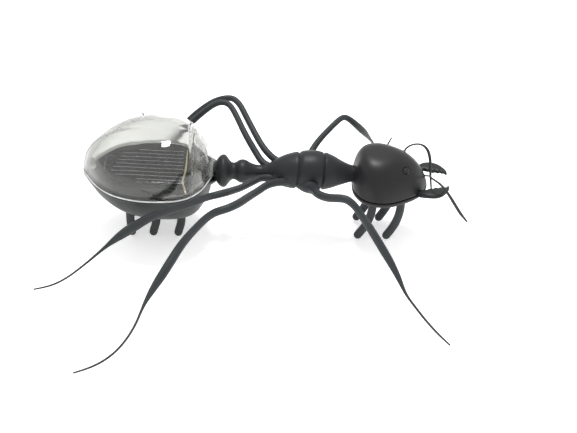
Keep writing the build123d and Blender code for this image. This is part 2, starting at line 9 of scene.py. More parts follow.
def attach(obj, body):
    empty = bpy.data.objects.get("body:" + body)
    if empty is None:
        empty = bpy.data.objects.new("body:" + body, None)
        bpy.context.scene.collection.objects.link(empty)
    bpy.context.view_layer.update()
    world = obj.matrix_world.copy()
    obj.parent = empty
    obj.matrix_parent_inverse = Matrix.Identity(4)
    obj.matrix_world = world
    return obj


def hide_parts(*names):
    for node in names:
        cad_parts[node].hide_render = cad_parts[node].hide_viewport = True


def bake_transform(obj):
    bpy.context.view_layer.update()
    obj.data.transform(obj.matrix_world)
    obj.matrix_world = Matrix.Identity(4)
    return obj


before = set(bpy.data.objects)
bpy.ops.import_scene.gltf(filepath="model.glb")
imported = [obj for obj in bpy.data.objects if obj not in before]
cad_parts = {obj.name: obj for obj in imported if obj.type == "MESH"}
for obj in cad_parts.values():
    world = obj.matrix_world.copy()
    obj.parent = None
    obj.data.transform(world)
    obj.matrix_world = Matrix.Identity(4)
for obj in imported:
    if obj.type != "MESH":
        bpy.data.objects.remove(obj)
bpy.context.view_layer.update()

# ------------------------------------------------------------------ layout
# Body layout in mm; the frame's origin is the middle of the footprint.
OX, OY, OZ = -8.77, -2.67, -0.10


def mm(p):
    p = np.atleast_2d(np.array(p, float))
    return (p - np.array([OX, OY, OZ])) / 1000.0


def pt(x, y, z):
    return Vector(mm((x, y, z))[0])


RIM_Z = 17.4
DOME_H, DOME_P, DOME_Q, DOME_SHIFT, DOME_WALL = 13.62, 2.59, 2.44, 3.8, 0.9
BOWL_H, BOWL_P, BOWL_Q, BOWL_SHIFT, BOWL_CUT = 9.83, 1.63, 4.03, 8.45, 0.93
CENTRE_X = -34.3
AXIS_Z = 17.9
HEAD_Z, HEAD_H, HEAD_P, HEAD_Q, HEAD_SHIFT, HEAD_CX = 15.0, 9.621, 1.424, 3.4, -2.29, 24.0
FOOT_R = 1.08

RIM = [(-52.08, 0.0), (-51.2, 2.2), (-49.27, 5.5), (-47.3, 8.0), (-44.4, 10.5),
       (-41.7, 11.8), (-38.5, 12.75), (-34.3, 13.15), (-29.7, 12.85),
       (-26.26, 11.75), (-23.85, 9.9), (-21.97, 7.2), (-20.62, 3.8), (-19.68, 0.0)]
HEAD = [(15.7, 0.0), (16.0, 4.3), (17.05, 6.6), (18.2, 8.0), (19.6, 8.9),
        (21.2, 9.4), (23.2, 9.6), (25.4, 9.25), (27.5, 8.4), (30.1, 7.0),
        (32.3, 5.4), (34.0, 3.2), (34.9, 0.0)]
PANEL = [(-49.0, 0.0), (-48.3, 2.6), (-45.75, 5.4), (-42.4, 7.0), (-37.9, 7.9),
         (-32.0, 8.0), (-26.6, 7.8), (-25.5, 7.0), (-25.2, 3.6), (-25.2, 0.0)]

LEGS = {
    "front_right": [
        (4.3, -4.1, 17, 1.033), (5.18, -8.08, 18.57, 0.982), (6.57, -11.73, 19.96, 0.968), (8.49, -14.83, 21.3, 0.961),
        (10.74, -16.9, 22.65, 0.94), (13.13, -18, 23.11, 0.917), (14.97, -18.96, 22.21, 0.927), (16.68, -19.55, 20.01, 0.918),
        (18.91, -19.55, 16.34, 0.987), (20.77, -20.16, 13.39, 1.028), (22.74, -21.84, 10.78, 1.028), (24.78, -24.48, 8.46, 0.923),
        (26.55, -27.58, 6.43, 0.684), (28.1, -30.95, 4.7, 0.376), (30.33, -34.04, 3.07, 0.308), (32.7, -37.39, 1.86, 0.292),
        (35.14, -40.94, 1.15, 0.275), (37.79, -44.64, 0.8, 0.214),
    ],
    "front_left": [
        (4.3, 4.1, 17, 1.025), (5.38, 7.65, 18.42, 0.897), (7.1, 10.44, 19.95, 0.814), (9.85, 13.27, 21.79, 0.763),
        (12.48, 15.86, 23.13, 0.753), (14.19, 17.42, 23.13, 0.757), (15.99, 17.91, 21.86, 0.81), (17.97, 18.72, 19.5, 0.908),
        (19.75, 20.59, 16.57, 0.891), (21.28, 23.18, 13.23, 0.593), (22.73, 25.89, 9.78, 0.366), (24.15, 28.36, 6.37, 0.291),
        (25.82, 30.56, 3.69, 0.276), (27.11, 33.07, 2.16, 0.265), (28.34, 36.59, 1.2, 0.245), (29.81, 40.65, 0.8, 0.2),
    ],
    "middle_right": [
        (-0.4, -3.25, 17.4, 1.034), (-3.72, -5.04, 18.17, 0.993), (-5.9, -7.42, 19.06, 0.959), (-7.85, -11.2, 20.34, 0.936),
        (-9.91, -15.27, 21.75, 0.958), (-11.75, -19.25, 23.18, 0.986), (-13.6, -22.42, 24.2, 0.987), (-15.61, -23.97, 24.26, 0.987),
        (-17.75, -24.35, 23.63, 0.981), (-20.07, -24.01, 21.66, 0.947), (-22.76, -23.7, 18.17, 0.947), (-24.88, -23.87, 15.37, 0.988),
        (-26.84, -25.13, 13.03, 1.05), (-28.67, -27.72, 11.21, 1.102), (-30.85, -30.96, 9.09, 1.078), (-33.16, -34.27, 6.84, 0.798),
        (-34.89, -37.51, 5.05, 0.41), (-36.24, -41.26, 3.52, 0.311), (-37.94, -45.15, 2.39, 0.292), (-40.02, -48.66, 1.66, 0.282),
        (-42.63, -51.69, 1.19, 0.276), (-45.81, -54.1, 0.93, 0.254), (-49.59, -55.95, 0.8, 0.212),
    ],
    "middle_left": [
        (-0.4, 3.25, 17.4, 1.026), (-3.74, 4.34, 18.51, 0.924), (-6.03, 6.35, 19.54, 0.876), (-8.06, 9.63, 20.67, 0.845),
        (-9.95, 13.74, 21.88, 0.825), (-11.83, 18.01, 23.16, 0.811), (-13.65, 21.68, 24.17, 0.805), (-15.36, 23.39, 24.38, 0.805),
        (-17.69, 23.83, 23.99, 0.803), (-20.31, 24.51, 22.47, 0.781), (-23.15, 24.91, 20.02, 0.78), (-26.04, 25.45, 16.76, 0.827),
        (-28.45, 26, 13.17, 0.899), (-30.75, 26.97, 9.51, 0.78), (-32.88, 28.4, 6.52, 0.493), (-34.71, 30.4, 4.57, 0.336),
        (-36.49, 33.48, 3.22, 0.29), (-38.08, 37.31, 2.34, 0.28), (-39.43, 41.63, 1.71, 0.274), (-40.57, 46.16, 1.19, 0.252),
        (-41.48, 50.75, 0.8, 0.211),
    ],
    "hind_right": [
        (-4.4, -2, 17.4, 1.02), (-7.16, -2.93, 17.96, 0.91), (-8.83, -5.28, 18.87, 0.864), (-10.87, -9.2, 20.43, 0.857),
        (-12.88, -13.12, 22.19, 0.861), (-14.89, -16.94, 24.19, 0.907), (-16.59, -19.73, 25.63, 0.907), (-18.15, -20.69, 25.82, 0.887),
        (-20.02, -20.28, 24.88, 0.86), (-23.49, -19.1, 22.31, 0.892), (-27.26, -18.07, 19.89, 0.923), (-31.29, -17.13, 17.45, 0.966),
        (-34.81, -16.66, 15.16, 1.067), (-38.32, -16.89, 12.76, 1.22), (-41.88, -17.44, 10.18, 1.045), (-45.02, -18.69, 8.03, 0.511),
        (-48.42, -20.3, 5.52, 0.31), (-51.73, -22.19, 3.43, 0.269), (-55.03, -24.31, 1.95, 0.254), (-58.39, -26.04, 1.16, 0.24),
        (-62.4, -27.21, 0.8, 0.199),
    ],
    "hind_left": [
        (-4.4, 2, 17.4, 1.021), (-6.83, 3.63, 17.96, 0.919), (-8.77, 6.35, 19.14, 0.865), (-10.92, 9.6, 21.13, 0.832),
        (-12.96, 13.34, 23.18, 0.798), (-14.83, 16.94, 24.95, 0.779), (-16.7, 18.98, 25.78, 0.779), (-18.63, 19.45, 25.55, 0.779),
        (-21.44, 18.89, 24.07, 0.779), (-24.51, 18.47, 21.3, 0.807), (-27.64, 18.33, 17.79, 0.866), (-30.51, 18.58, 14.32, 0.953),
        (-33.53, 19.38, 10.8, 0.983), (-36.65, 20.37, 7.4, 0.817), (-39.78, 21.41, 4.83, 0.432), (-43.26, 22.74, 3.04, 0.306),
        (-46.9, 24.74, 1.73, 0.255), (-50.73, 27.22, 0.8, 0.2),
    ],
}
ANTENNAE = {
    "right": [
        (32.4, -2.6, 18.2, 0.206), (33.12, -3.64, 18.94, 0.196), (34.14, -3.74, 19.91, 0.198), (35.35, -4.77, 20.27, 0.228),
        (36.9, -6.23, 19.97, 0.267), (38.52, -7.43, 18.84, 0.316), (39.82, -8.08, 17.23, 0.361), (41.33, -8.69, 15.01, 0.401),
        (42.91, -9.02, 12.59, 0.383), (44.75, -9.19, 10.2, 0.222),
    ],
    "left": [
        (29.2, 4.2, 20, 0.21), (29.29, 5.32, 21.72, 0.234), (30.28, 5.55, 22.73, 0.24), (32.09, 5.38, 23.52, 0.222),
        (33.69, 5, 23.41, 0.276), (34.82, 4.11, 22.61, 0.373), (35.48, 2.9, 20.95, 0.388), (35.68, 1.44, 18.59, 0.334),
        (35.89, 0.47, 16.1, 0.271), (36.29, -0.05, 13.3, 0.211),
    ],
}

rng = np.random.default_rng(7)


# ------------------------------------------------------------------ curves
def spline(points, n, closed=False, even=True):
    """Smooth interpolating curve through the points (cubic, second derivative continuous)."""
    P = np.array(points, float)
    if closed:
        P = np.vstack([P, P[:1]])
    s = np.r_[0, np.cumsum(np.linalg.norm(np.diff(P[:, :3], axis=0), axis=1))]
    m = len(P)
    h = np.diff(s)
    A = np.zeros((m, m))
    B = np.zeros((m, P.shape[1]))
    for i in range(1, m - 1):
        A[i, i - 1], A[i, i], A[i, i + 1] = h[i - 1], 2 * (h[i - 1] + h[i]), h[i]
        B[i] = 6 * ((P[i + 1] - P[i]) / h[i] - (P[i] - P[i - 1]) / h[i - 1])
    if closed:
        A[0, 0], A[0, -1] = 1, -1
        A[-1, 0], A[-1, 1], A[-1, -2], A[-1, -1] = 2 * h[0], h[0], h[-1], 2 * h[-1]
        B[-1] = 6 * ((P[1] - P[0]) / h[0] - (P[-1] - P[-2]) / h[-1])
    else:
        A[0, 0] = A[-1, -1] = 1
    M = np.linalg.solve(A, B)
    t = np.linspace(0, s[-1], n, endpoint=not closed)
    k = np.clip(np.searchsorted(s, t, side="right") - 1, 0, m - 2)
    a, b, hh = s[k + 1] - t, t - s[k], h[k]
    a, b, hh = a[:, None], b[:, None], hh[:, None]
    return (M[k] * a ** 3 + M[k + 1] * b ** 3) / (6 * hh) \
        + (P[k] / hh - M[k] * hh / 6) * a + (P[k + 1] / hh - M[k + 1] * hh / 6) * b


def smoothstep(a, b, x):
    t = np.clip((x - a) / (b - a), 0, 1)
    return t * t * (3 - 2 * t)


def both_sides(half):
    return [(x, -y) for x, y in half] + [(x, y) for x, y in reversed(half[1:-1])]


def outline(half, n=200, corner=None):
    return spline(both_sides(half), n, closed=True)


def offset(curve, d):
    """Closed 2-D curve moved in by d (out when negative)."""
    t = np.roll(curve, -1, 0) - np.roll(curve, 1, 0)
    t /= np.linalg.norm(t, axis=1)[:, None] + 1e-12
    nrm = np.stack([-t[:, 1], t[:, 0]], 1)
    c = curve.mean(0)
    if ((c - curve) * nrm).sum() < 0:
        nrm = -nrm
    return curve + nrm * d


def level(u, p, q):
    return np.maximum(1 - np.clip(u, 0, 1) ** p, 0) ** (1 / q)


def ring_at(curve, z, s=1.0, cx=0.0, shift=0.0):
    return np.c_[cx + (curve[:, 0] - cx) * s + shift * (1 - s), curve[:, 1] * s, np.full(len(curve), z)]


# ------------------------------------------------------------------ meshes
def make(name, verts, faces, mat, body=None, smooth=True, sharp=None, replaces=(), material_of_face=None):
    me = bpy.data.meshes.new(name)
    me.from_pydata([tuple(v) for v in mm(verts)], [], [tuple(f) for f in faces])
    me.update()
    bm = bmesh.new()
    bm.from_mesh(me)
    bmesh.ops.remove_doubles(bm, verts=bm.verts, dist=2e-7)
    bmesh.ops.recalc_face_normals(bm, faces=bm.faces)
    bm.to_mesh(me)
    bm.free()
    ob = bpy.data.objects.new(name, me)
    bpy.context.scene.collection.objects.link(ob)
    for m in (mat if isinstance(mat, (list, tuple)) else [mat]):
        me.materials.append(m)
    if material_of_face is not None:
        for p in me.polygons:
            p.material_index = material_of_face(p)
    me.polygons.foreach_set("use_smooth", [smooth] * len(me.polygons))
    if sharp:
        me.set_sharp_from_angle(angle=math.radians(sharp))
    if body:
        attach(ob, body)
    if replaces:
        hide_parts(*replaces)
    return ob


def loft(rings, start="pole", end="pole"):
    """Verts and faces of a skin over the rings. An end is a pole, joined to the other end, or else left open."""
    n = len(rings[0])
    V = np.vstack(rings)
    F = []
    for i in range(len(rings) - 1):
        a, b = i * n, (i + 1) * n
        for j in range(n):
            k = (j + 1) % n
            F.append((a + j, a + k, b + k, b + j))
    for which, base in ((start, 0), (end, (len(rings) - 1) * n)):
        if which == "pole":
            V = np.vstack([V, V[base:base + n].mean(0)[None]])
            c = len(V) - 1
            for j in range(n):
                F.append((base + j, base + (j + 1) % n, c) if which == start and base == 0 else (base + (j + 1) % n, base + j, c))
    if start == "join":
        a, b = (len(rings) - 1) * n, 0
        for j in range(n):
            k = (j + 1) % n
            F.append((a + j, a + k, b + k, b + j))
    return V, F


def join(*parts):
    V, F, o = [], [], 0
    for v, f in parts:
        V.append(np.array(v, float))
        F += [tuple(i + o for i in q) for q in f]
        o += len(v)
    return np.vstack(V), F


def tube(stations, n=28, step=0.35, flat=None, tip=True, root_cap=True, twist=0.0):
    """Tapered round or oval rod along a smooth line through the stations (x, y, z, r)."""
    S = np.array(stations, float)
    ln = np.linalg.norm(np.diff(S[:, :3], axis=0), axis=1).sum()
    m = max(12, int(ln / step))
    C = spline(S, m)
    P, r = C[:, :3], np.maximum(C[:, 3], 0.12)
    T = np.gradient(P, axis=0)
    T /= np.linalg.norm(T, axis=1)[:, None]
    s = np.r_[0, np.cumsum(np.linalg.norm(np.diff(P, axis=0), axis=1))]
    x = np.cross([0, 0, 1.0], T[0])
    if np.linalg.norm(x) < 0.15:
        x = np.array([1.0, 0, 0])
    rings = []
    ang = np.linspace(0, 2 * math.pi, n, endpoint=False)

    def section(p, t, x, rr, k):
        y = np.cross(t, x)
        fx, fy = (1.0, 1.0) if flat is None else flat(k)
        return p + np.cos(ang)[:, None] * x * rr * fx + np.sin(ang)[:, None] * y * rr * fy

    frames = []
    for i in range(m):
        x = x - T[i] * (x @ T[i])
        x /= np.linalg.norm(x)
        frames.append(x.copy())
    if root_cap:
        for a in (80, 60, 40, 20):
            c, d = math.cos(math.radians(a)), math.sin(math.radians(a))
            rings.append(section(P[0] - T[0] * r[0] * d, T[0], frames[0], r[0] * c, 0.0))
    for i in range(m):
        rings.append(section(P[i], T[i], frames[i], r[i], s[i] / s[-1]))
    if tip:
        for a in (25, 48, 68, 82):
            c, d = math.cos(math.radians(a)), math.sin(math.radians(a))
            rings.append(section(P[-1] + T[-1] * r[-1] * d, T[-1], frames[-1], r[-1] * c, 1.0))
    return loft(rings)


def lathe(profile, n=96, zc=None, axis_z=AXIS_Z, oval=(1.0, 1.0), step=0.12):
    """Solid of revolution along X, with the centre height zc(x)."""
    C = spline([(a, b, 0.0) for a, b in profile], max(24, int((profile[-1][0] - profile[0][0]) / step)))
    ang = np.linspace(0, 2 * math.pi, n, endpoint=False)
    rings = []
    for x, r, _ in C:
        z = zc(x) if zc else axis_z
        rings.append(np.c_[np.full(n, x), np.sin(ang) * r * oval[0], z + np.cos(ang) * r * oval[1]])
    return loft(rings)


def blob(c, r, n=32, m=16, sx=1.0, sy=1.0, sz=1.0):
    rings = []
    for i in range(1, m):
        a = math.pi * i / m
        ang = np.linspace(0, 2 * math.pi, n, endpoint=False)
        rings.append(np.c_[c[0] - r * sx * math.cos(a) * np.ones(n), c[1] + r * sy * math.sin(a) * np.cos(ang), c[2] + r * sz * math.sin(a) * np.sin(ang)])
    return loft(rings)


# ------------------------------------------------------------------ materials
def mat(name):
    m = bpy.data.materials.new(name)
    m.use_nodes = True
    nt = m.node_tree
    return m, nt, nt.nodes["Principled BSDF"]


def noise(nt, scale, detail=4.0, rough=0.55, dist=0.0):
    tc = nt.nodes.get("TC") or nt.nodes.new("ShaderNodeTexCoord")
    tc.name = "TC"
    n = nt.nodes.new("ShaderNodeTexNoise")
    n.inputs["Scale"].default_value = scale
    n.inputs["Detail"].default_value = detail
    n.inputs["Roughness"].default_value = rough
    n.inputs["Distortion"].default_value = dist
    nt.links.new(tc.outputs["Object"], n.inputs["Vector"])
    return n


def ramp(nt, src, stops):
    r = nt.nodes.new("ShaderNodeValToRGB")
    e = r.color_ramp.elements
    while len(e) > 1:
        e.remove(e[-1])
    e[0].position, e[0].color = stops[0][0], stops[0][1]
    for p, c in stops[1:]:
        k = e.new(p)
        k.color = c
    nt.links.new(src, r.inputs["Fac"])
    return r


def span(nt, src, lo, hi):
    m = nt.nodes.new("ShaderNodeMapRange")
    m.inputs["To Min"].default_value = lo
    m.inputs["To Max"].default_value = hi
    m.inputs["From Min"].default_value = 0.3
    m.inputs["From Max"].default_value = 0.7
    nt.links.new(src, m.inputs["Value"])
    return m


def bump(nt, b, src, strength, dist, prev=None):
    k = nt.nodes.new("ShaderNodeBump")
    k.inputs["Strength"].default_value = strength
    k.inputs["Distance"].default_value = dist
    nt.links.new(src, k.inputs["Height"])
    if prev is not None:
        nt.links.new(prev.outputs["Normal"], k.inputs["Normal"])
    nt.links.new(k.outputs["Normal"], b.inputs["Normal"])
    return k


def plastic(name, dark, light, r_lo, r_hi, grain=2600.0, strength=0.12, spec=0.5, coat=0.0, mottle=90.0):
    m, nt, b = mat(name)
    big = noise(nt, mottle, 5, 0.6)
    c = ramp(nt, big.outputs["Fac"], [(0.3, (*dark, 1)), (0.7, (*light, 1))])
    nt.links.new(c.outputs["Color"], b.inputs["Base Color"])
    mid = noise(nt, mottle * 6, 4, 0.6)
    nt.links.new(span(nt, mid.outputs["Fac"], r_lo, r_hi).outputs["Result"], b.inputs["Roughness"])
    fine = noise(nt, grain, 3, 0.5)
    k = bump(nt, b, fine.outputs["Fac"], strength, 0.00003)
    wave = noise(nt, 130, 2, 0.4)
    bump(nt, b, wave.outputs["Fac"], 0.10, 0.00012, prev=k)
    b.inputs["Specular IOR Level"].default_value = spec
    b.inputs["Coat Weight"].default_value = coat
    b.inputs["Coat Roughness"].default_value = 0.3
    return m


SHELL = plastic("black_shell_satin", (0.014, 0.017, 0.017), (0.020, 0.024, 0.024), 0.36, 0.46, spec=0.36)
HEADM = plastic("head_shell_satin", (0.007, 0.007, 0.0082), (0.011, 0.011, 0.0125), 0.38, 0.46, spec=0.34)
SOFT = plastic("soft_rubber_black", (0.018, 0.022, 0.024), (0.028, 0.032, 0.034), 0.48, 0.60, grain=3400, strength=0.2, spec=0.34)
BODY = plastic("soft_body_black", (0.009, 0.011, 0.012), (0.015, 0.017, 0.018), 0.40, 0.50, grain=3000, strength=0.16, spec=0.30)
TRAY = plastic("tray_satin", (0.012, 0.014, 0.014), (0.020, 0.023, 0.022), 0.42, 0.55, grain=2200, strength=0.15)


def clear_dome():
    m, nt, b = mat("clear_dome_moulding")
    b.inputs["IOR"].default_value = 1.49
    b.inputs["Base Color"].default_value = (0.755, 0.76, 0.738, 1)
    f = noise(nt, 55, 3, 0.5)
    r0 = span(nt, f.outputs["Fac"], 0.012, 0.04)
    # the moulding is clear on top and clouds towards its steep left wall
    dot = nt.nodes.new("ShaderNodeVectorMath")
    dot.operation = "DOT_PRODUCT"
    dot.inputs[1].default_value = (-0.6, 0.9, 0.0)
    nt.links.new(nt.nodes["TC"].outputs["Object"], dot.inputs[0])
    far = nt.nodes.new("ShaderNodeMapRange")
    far.interpolation_type = "SMOOTHSTEP"
    far.inputs["From Min"].default_value = 0.0205
    far.inputs["From Max"].default_value = 0.0265
    far.inputs["To Min"].default_value = 0.0
    far.inputs["To Max"].default_value = 0.32
    nt.links.new(dot.outputs["Value"], far.inputs["Value"])
    add = nt.nodes.new("ShaderNodeMath")
    add.operation = "ADD"
    nt.links.new(r0.outputs["Result"], add.inputs[0])
    nt.links.new(far.outputs["Result"], add.inputs[1])
    nt.links.new(add.outputs["Value"], b.inputs["Roughness"])
    haze = noise(nt, 140, 4, 0.6)
    base = span(nt, haze.outputs["Fac"], 0.997, 0.985)
    # painted reflection: the front facet round the collar is made less clear in noise streaks, so its whitish base
    # colour shows as lighter streaks that stand in for the reflections it catches
    sx = nt.nodes.new("ShaderNodeSeparateXYZ")
    nt.links.new(nt.nodes["TC"].outputs["Object"], sx.inputs[0])
    front = nt.nodes.new("ShaderNodeMapRange")
    front.interpolation_type = "SMOOTHSTEP"
    front.inputs["From Min"].default_value = -0.0166
    front.inputs["From Max"].default_value = -0.0150
    nt.links.new(sx.outputs["X"], front.inputs["Value"])
    painted_reflection_streak = noise(nt, 260, 2, 0.5, 0.8)
    painted_reflection_amount = nt.nodes.new("ShaderNodeMapRange")
    painted_reflection_amount.inputs["From Min"].default_value = 0.46
    painted_reflection_amount.inputs["From Max"].default_value = 0.62
    painted_reflection_amount.inputs["To Min"].default_value = 0.05
    painted_reflection_amount.inputs["To Max"].default_value = 0.20
    nt.links.new(painted_reflection_streak.outputs["Fac"], painted_reflection_amount.inputs["Value"])
    mul = nt.nodes.new("ShaderNodeMath")
    mul.operation = "MULTIPLY"
    nt.links.new(front.outputs["Result"], mul.inputs[0])
    nt.links.new(painted_reflection_amount.outputs["Result"], mul.inputs[1])
    # transmission lowered where the painted reflection streaks fall
    sub = nt.nodes.new("ShaderNodeMath")
    sub.operation = "SUBTRACT"
    nt.links.new(base.outputs["Result"], sub.inputs[0])
    nt.links.new(mul.outputs["Value"], sub.inputs[1])
    nt.links.new(sub.outputs["Value"], b.inputs["Transmission Weight"])
    w = noise(nt, 85, 2, 0.4)
    bump(nt, b, w.outputs["Fac"], 0.10, 0.00035)
    return m


def frosted():
    m, nt, b = mat("clear_flange_edge")
    n1 = noise(nt, 400, 3, 0.5)
    c = ramp(nt, n1.outputs["Fac"], [(0.3, (0.86, 0.87, 0.86, 1)), (0.7, (0.97, 0.98, 0.97, 1))])
    nt.links.new(c.outputs["Color"], b.inputs["Base Color"])
    b.inputs["Transmission Weight"].default_value = 0.35
    b.inputs["IOR"].default_value = 1.49
    nt.links.new(span(nt, n1.outputs["Fac"], 0.22, 0.38).outputs["Result"], b.inputs["Roughness"])
    return m


def cell():
    m, nt, b = mat("silicon_cell")
    n1 = noise(nt, 120, 4, 0.6)
    c = ramp(nt, n1.outputs["Fac"], [(0.32, (0.006, 0.008, 0.009, 1)), (0.55, (0.009, 0.010, 0.013, 1)), (0.72, (0.015, 0.015, 0.013, 1))])
    nt.links.new(c.outputs["Color"], b.inputs["Base Color"])
    n2 = noise(nt, 700, 3, 0.5)
    nt.links.new(span(nt, n2.outputs["Fac"], 0.22, 0.34).outputs["Result"], b.inputs["Roughness"])
    bump(nt, b, n2.outputs["Fac"], 0.05, 0.00004)
    b.inputs["Specular IOR Level"].default_value = 0.3
    return m


def metal(name, dark, light, r_lo, r_hi, scale=900.0):
    m, nt, b = mat(name)
    n1 = noise(nt, scale, 4, 0.6)
    c = ramp(nt, n1.outputs["Fac"], [(0.3, (*dark, 1)), (0.7, (*light, 1))])
    nt.links.new(c.outputs["Color"], b.inputs["Base Color"])
    b.inputs["Metallic"].default_value = 1.0
    n2 = noise(nt, scale * 2.2, 3, 0.5)
    nt.links.new(span(nt, n2.outputs["Fac"], r_lo, r_hi).outputs["Result"], b.inputs["Roughness"])
    bump(nt, b, n2.outputs["Fac"], 0.12, 0.00002)
    return m


def lip():
    m, nt, b = mat("clear_lip")
    n1 = noise(nt, 300, 3, 0.5)
    c = ramp(nt, n1.outputs["Fac"], [(0.3, (0.80, 0.81, 0.80, 1)), (0.7, (0.93, 0.94, 0.93, 1))])
    nt.links.new(c.outputs["Color"], b.inputs["Base Color"])
    b.inputs["Transmission Weight"].default_value = 0.72
    b.inputs["IOR"].default_value = 1.49
    nt.links.new(span(nt, n1.outputs["Fac"], 0.08, 0.22).outputs["Result"], b.inputs["Roughness"])
    return m


DOME = clear_dome()
LIP = lip()
EDGE = frosted()
CELL = cell()
LINE = plastic("printed_silver_line", (0.42, 0.43, 0.45), (0.70, 0.71, 0.73), 0.35, 0.5, grain=4000)
REARTAB = metal("ribbon_tinned_dull", (0.10, 0.10, 0.10), (0.17, 0.17, 0.165), 0.4, 0.55)
RIBBON = metal("ribbon_pale_brass", (0.60, 0.52, 0.30), (0.80, 0.72, 0.48), 0.25, 0.42)
SOLDER = metal("solder", (0.62, 0.62, 0.60), (0.80, 0.80, 0.78), 0.2, 0.35)
STEEL = metal("steel_brushed", (0.50, 0.50, 0.51), (0.66, 0.66, 0.67), 0.26, 0.42)
NYLON = plastic("nylon_natural", (0.62, 0.61, 0.57), (0.72, 0.71, 0.67), 0.4, 0.5)
BOARD = plastic("panel_laminate", (0.010, 0.012, 0.012), (0.018, 0.020, 0.019), 0.30, 0.42, grain=1800, spec=0.3)
REDW = plastic("wire_red_pvc", (0.42, 0.02, 0.015), (0.52, 0.035, 0.025), 0.32, 0.42)
BLKW = plastic("wire_black_pvc", (0.02, 0.02, 0.02), (0.03, 0.03, 0.03), 0.32, 0.42)

# ------------------------------------------------------------------ abdomen
rim = outline(RIM, 480)


def collar_push(P, grow, reach=3.3):
    """Raises a half-round collar around the waist hole on the front wall."""
    P = P.copy()
    rr = np.hypot(P[:, 1], (P[:, 2] - AXIS_Z))
    front = P[:, 0] > -26
    k = 1 - smoothstep(reach - 0.5, reach + 0.7, rr)
    P[front, 0] += grow * k[front]
    return P


us = np.sin(np.linspace(0, 1, 46) * math.pi / 2)
rings = []
tag = []
inner = offset(rim, DOME_WALL)
hi_ = DOME_H - DOME_WALL
for u in us[::-1][1:]:
    rings.append(ring_at(inner, RIM_Z + 0.02 + hi_ * u, level(u, DOME_P, DOME_Q), CENTRE_X, DOME_SHIFT))
F_OUT, F_T = 0.30, 0.30
rings.append(ring_at(offset(rim, DOME_WALL * 0.5), RIM_Z + 0.02))
for dz, do in ((0.02, -F_OUT + 0.08), (0.06, -F_OUT + 0.02), (0.1, -F_OUT), (F_T - 0.10, -F_OUT), (F_T - 0.04, -F_OUT + 0.03), (F_T, -F_OUT + 0.10), (F_T + 0.03, -0.08), (F_T + 0.10, -0.01)):
    rings.append(ring_at(offset(rim, do), RIM_Z + dz))
flange_lo, flange_hi = RIM_Z - 0.001, RIM_Z + F_T + 0.005
for u in us[1:-1]:
    z = RIM_Z + DOME_H * u
    if z < RIM_Z + F_T + 0.2:
        continue
    R = collar_push(ring_at(rim, z, level(u, DOME_P, DOME_Q), CENTRE_X, DOME_SHIFT), 1.15)
    k = 0.16 * np.exp(-((R[:, 0] + 24.7) / 0.32) ** 2) - 0.10 * smoothstep(-24.7, -23.6, R[:, 0])
    d = R - np.array([CENTRE_X, 0, RIM_Z])
    R = R + d / np.linalg.norm(d, axis=1)[:, None] * k[:, None]
    rings.append(R)
rings.append(ring_at(rim, RIM_Z + DOME_H * 0.99985, level(0.99985, DOME_P, DOME_Q), CENTRE_X, DOME_SHIFT))
V, F = loft(rings)


def dome_face(p):
    z = p.center.z * 1000 + OZ
    x, y = p.center.x * 1000 + OX, p.center.y * 1000 + OY
    if z > flange_hi + 0.02:
        return 0
    d = np.min(np.hypot(rim[:, 0] - x, rim[:, 1] - y))
    inside = abs(y) < np.interp(x, [a for a, _ in RIM], [b for _, b in RIM])
    return 0 if inside else 1


dome = make("abdomen_dome_clear", V, F, [DOME, EDGE], "abdomen", replaces=["abdomen_dome"],
            material_of_face=dome_face)

# base shell
ub = np.linspace(0, 1, 40) ** 1.2 * BOWL_CUT
rings = []
inner = offset(rim, 2.0)
fh = (BOWL_H * BOWL_CUT - 1.4) / BOWL_CUT
belly = RIM_Z - BOWL_H * BOWL_CUT
floor_z = belly + 1.4


def bowl_s(u):
    return float(level(u, BOWL_P, BOWL_Q))


s_end = bowl_s(BOWL_CUT)
for k in (0.15, 0.5, 0.9):
    rings.append(ring_at(inner, floor_z, s_end * k, CENTRE_X, BOWL_SHIFT * 1.0))
    rings[-1][:, 0] = CENTRE_X + (inner[:, 0] - CENTRE_X) * s_end * k + BOWL_SHIFT * (1 - s_end)
for u in ub[::-1]:
    rings.append(ring_at(inner, RIM_Z - fh * u, bowl_s(u), CENTRE_X, BOWL_SHIFT))
rings.append(ring_at(offset(rim, 1.9), RIM_Z))
rings.append(ring_at(offset(rim, 0.2), RIM_Z))
for dz, do in ((0.0, -0.22), (0.05, -0.28), (0.11, -0.30), (0.36, -0.30), (0.44, -0.27), (0.50, -0.20), (0.56, -0.09), (0.66, -0.01)):
    rings.append(ring_at(offset(rim, do), RIM_Z - dz))
for u in ub[2:]:
    z = RIM_Z - BOWL_H * u
    if z > RIM_Z - 0.72:
        continue
    e = smoothstep(0.80, 0.93, np.array([u]))[0]
    R = ring_at(rim, z, bowl_s(u) - 0.012 * e, CENTRE_X, BOWL_SHIFT)
    rings.append(collar_push(R, 1.15))
for k, dz in ((0.955, 0.10), (0.92, 0.16), (0.86, 0.19), (0.6, 0.2), (0.3, 0.2), (0.1, 0.2)):
    R = ring_at(rim, belly + 0.2 - dz, s_end * k, CENTRE_X, BOWL_SHIFT)
    R[:, 0] = CENTRE_X + (rim[:, 0] - CENTRE_X) * s_end * k + BOWL_SHIFT * (1 - s_end)
    rings.append(R)
V, F = loft(rings)
make("abdomen_base_shell", V, F, SHELL, "abdomen", replaces=["abdomen_base"])

# tray with the raised platform
pan = outline(PANEL, 480)


def match(curve, target):
    """Re-times curve so that its points lie at the same angles as the target's."""
    c = np.array([-34.0, 0.0])
    a = np.unwrap(np.arctan2(curve[:, 1] - c[1], curve[:, 0] - c[0]))
    b = np.unwrap(np.arctan2(target[:, 1] - c[1], target[:, 0] - c[0]))
    if a[-1] < a[0]:
        a = -a
        b = -b
    a2 = np.r_[a - 2 * math.pi, a, a + 2 * math.pi]
    X = np.tile(curve[:, 0], 3)
    Y = np.tile(curve[:, 1], 3)
    return np.c_[np.interp(b, a2, X), np.interp(b, a2, Y)]


